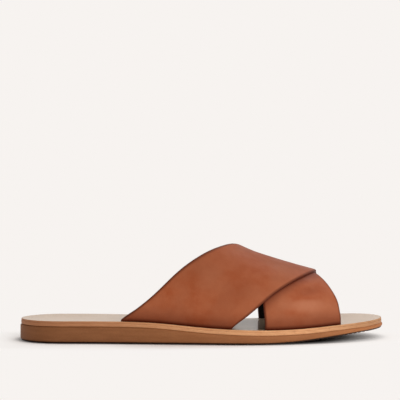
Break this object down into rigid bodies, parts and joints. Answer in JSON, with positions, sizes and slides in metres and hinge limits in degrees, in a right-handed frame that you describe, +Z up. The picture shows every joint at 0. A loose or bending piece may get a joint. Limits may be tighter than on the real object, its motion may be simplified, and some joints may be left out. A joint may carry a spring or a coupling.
{
  "type": "cross strap sandal",
  "caption": "Flat slip-on sandal, right shoe: two wide leather straps crossed over the instep on a leather insole, tan midsole and low brown outsole, open at toe and heel.",
  "frame": {"origin": "on the floor under the centre of the footprint's bounding box", "axes": "+X from heel to toe, +Y to the medial (big toe) side, +Z up"},
  "size_m": [0.255, 0.0924, 0.0674],
  "materials": {
    "outsole": "matt brown microcellular rubber",
    "midsole": "tan leather board with a smooth cut edge",
    "insole": "smooth natural beige leather, slight gloss",
    "upper": "smooth chestnut brown leather, satin"
  },
  "bodies": {
    "root": {"outsole": "outsole", "midsole": "midsole", "insole": "insole", "upper": "upper"}
  },
  "joints": []
}
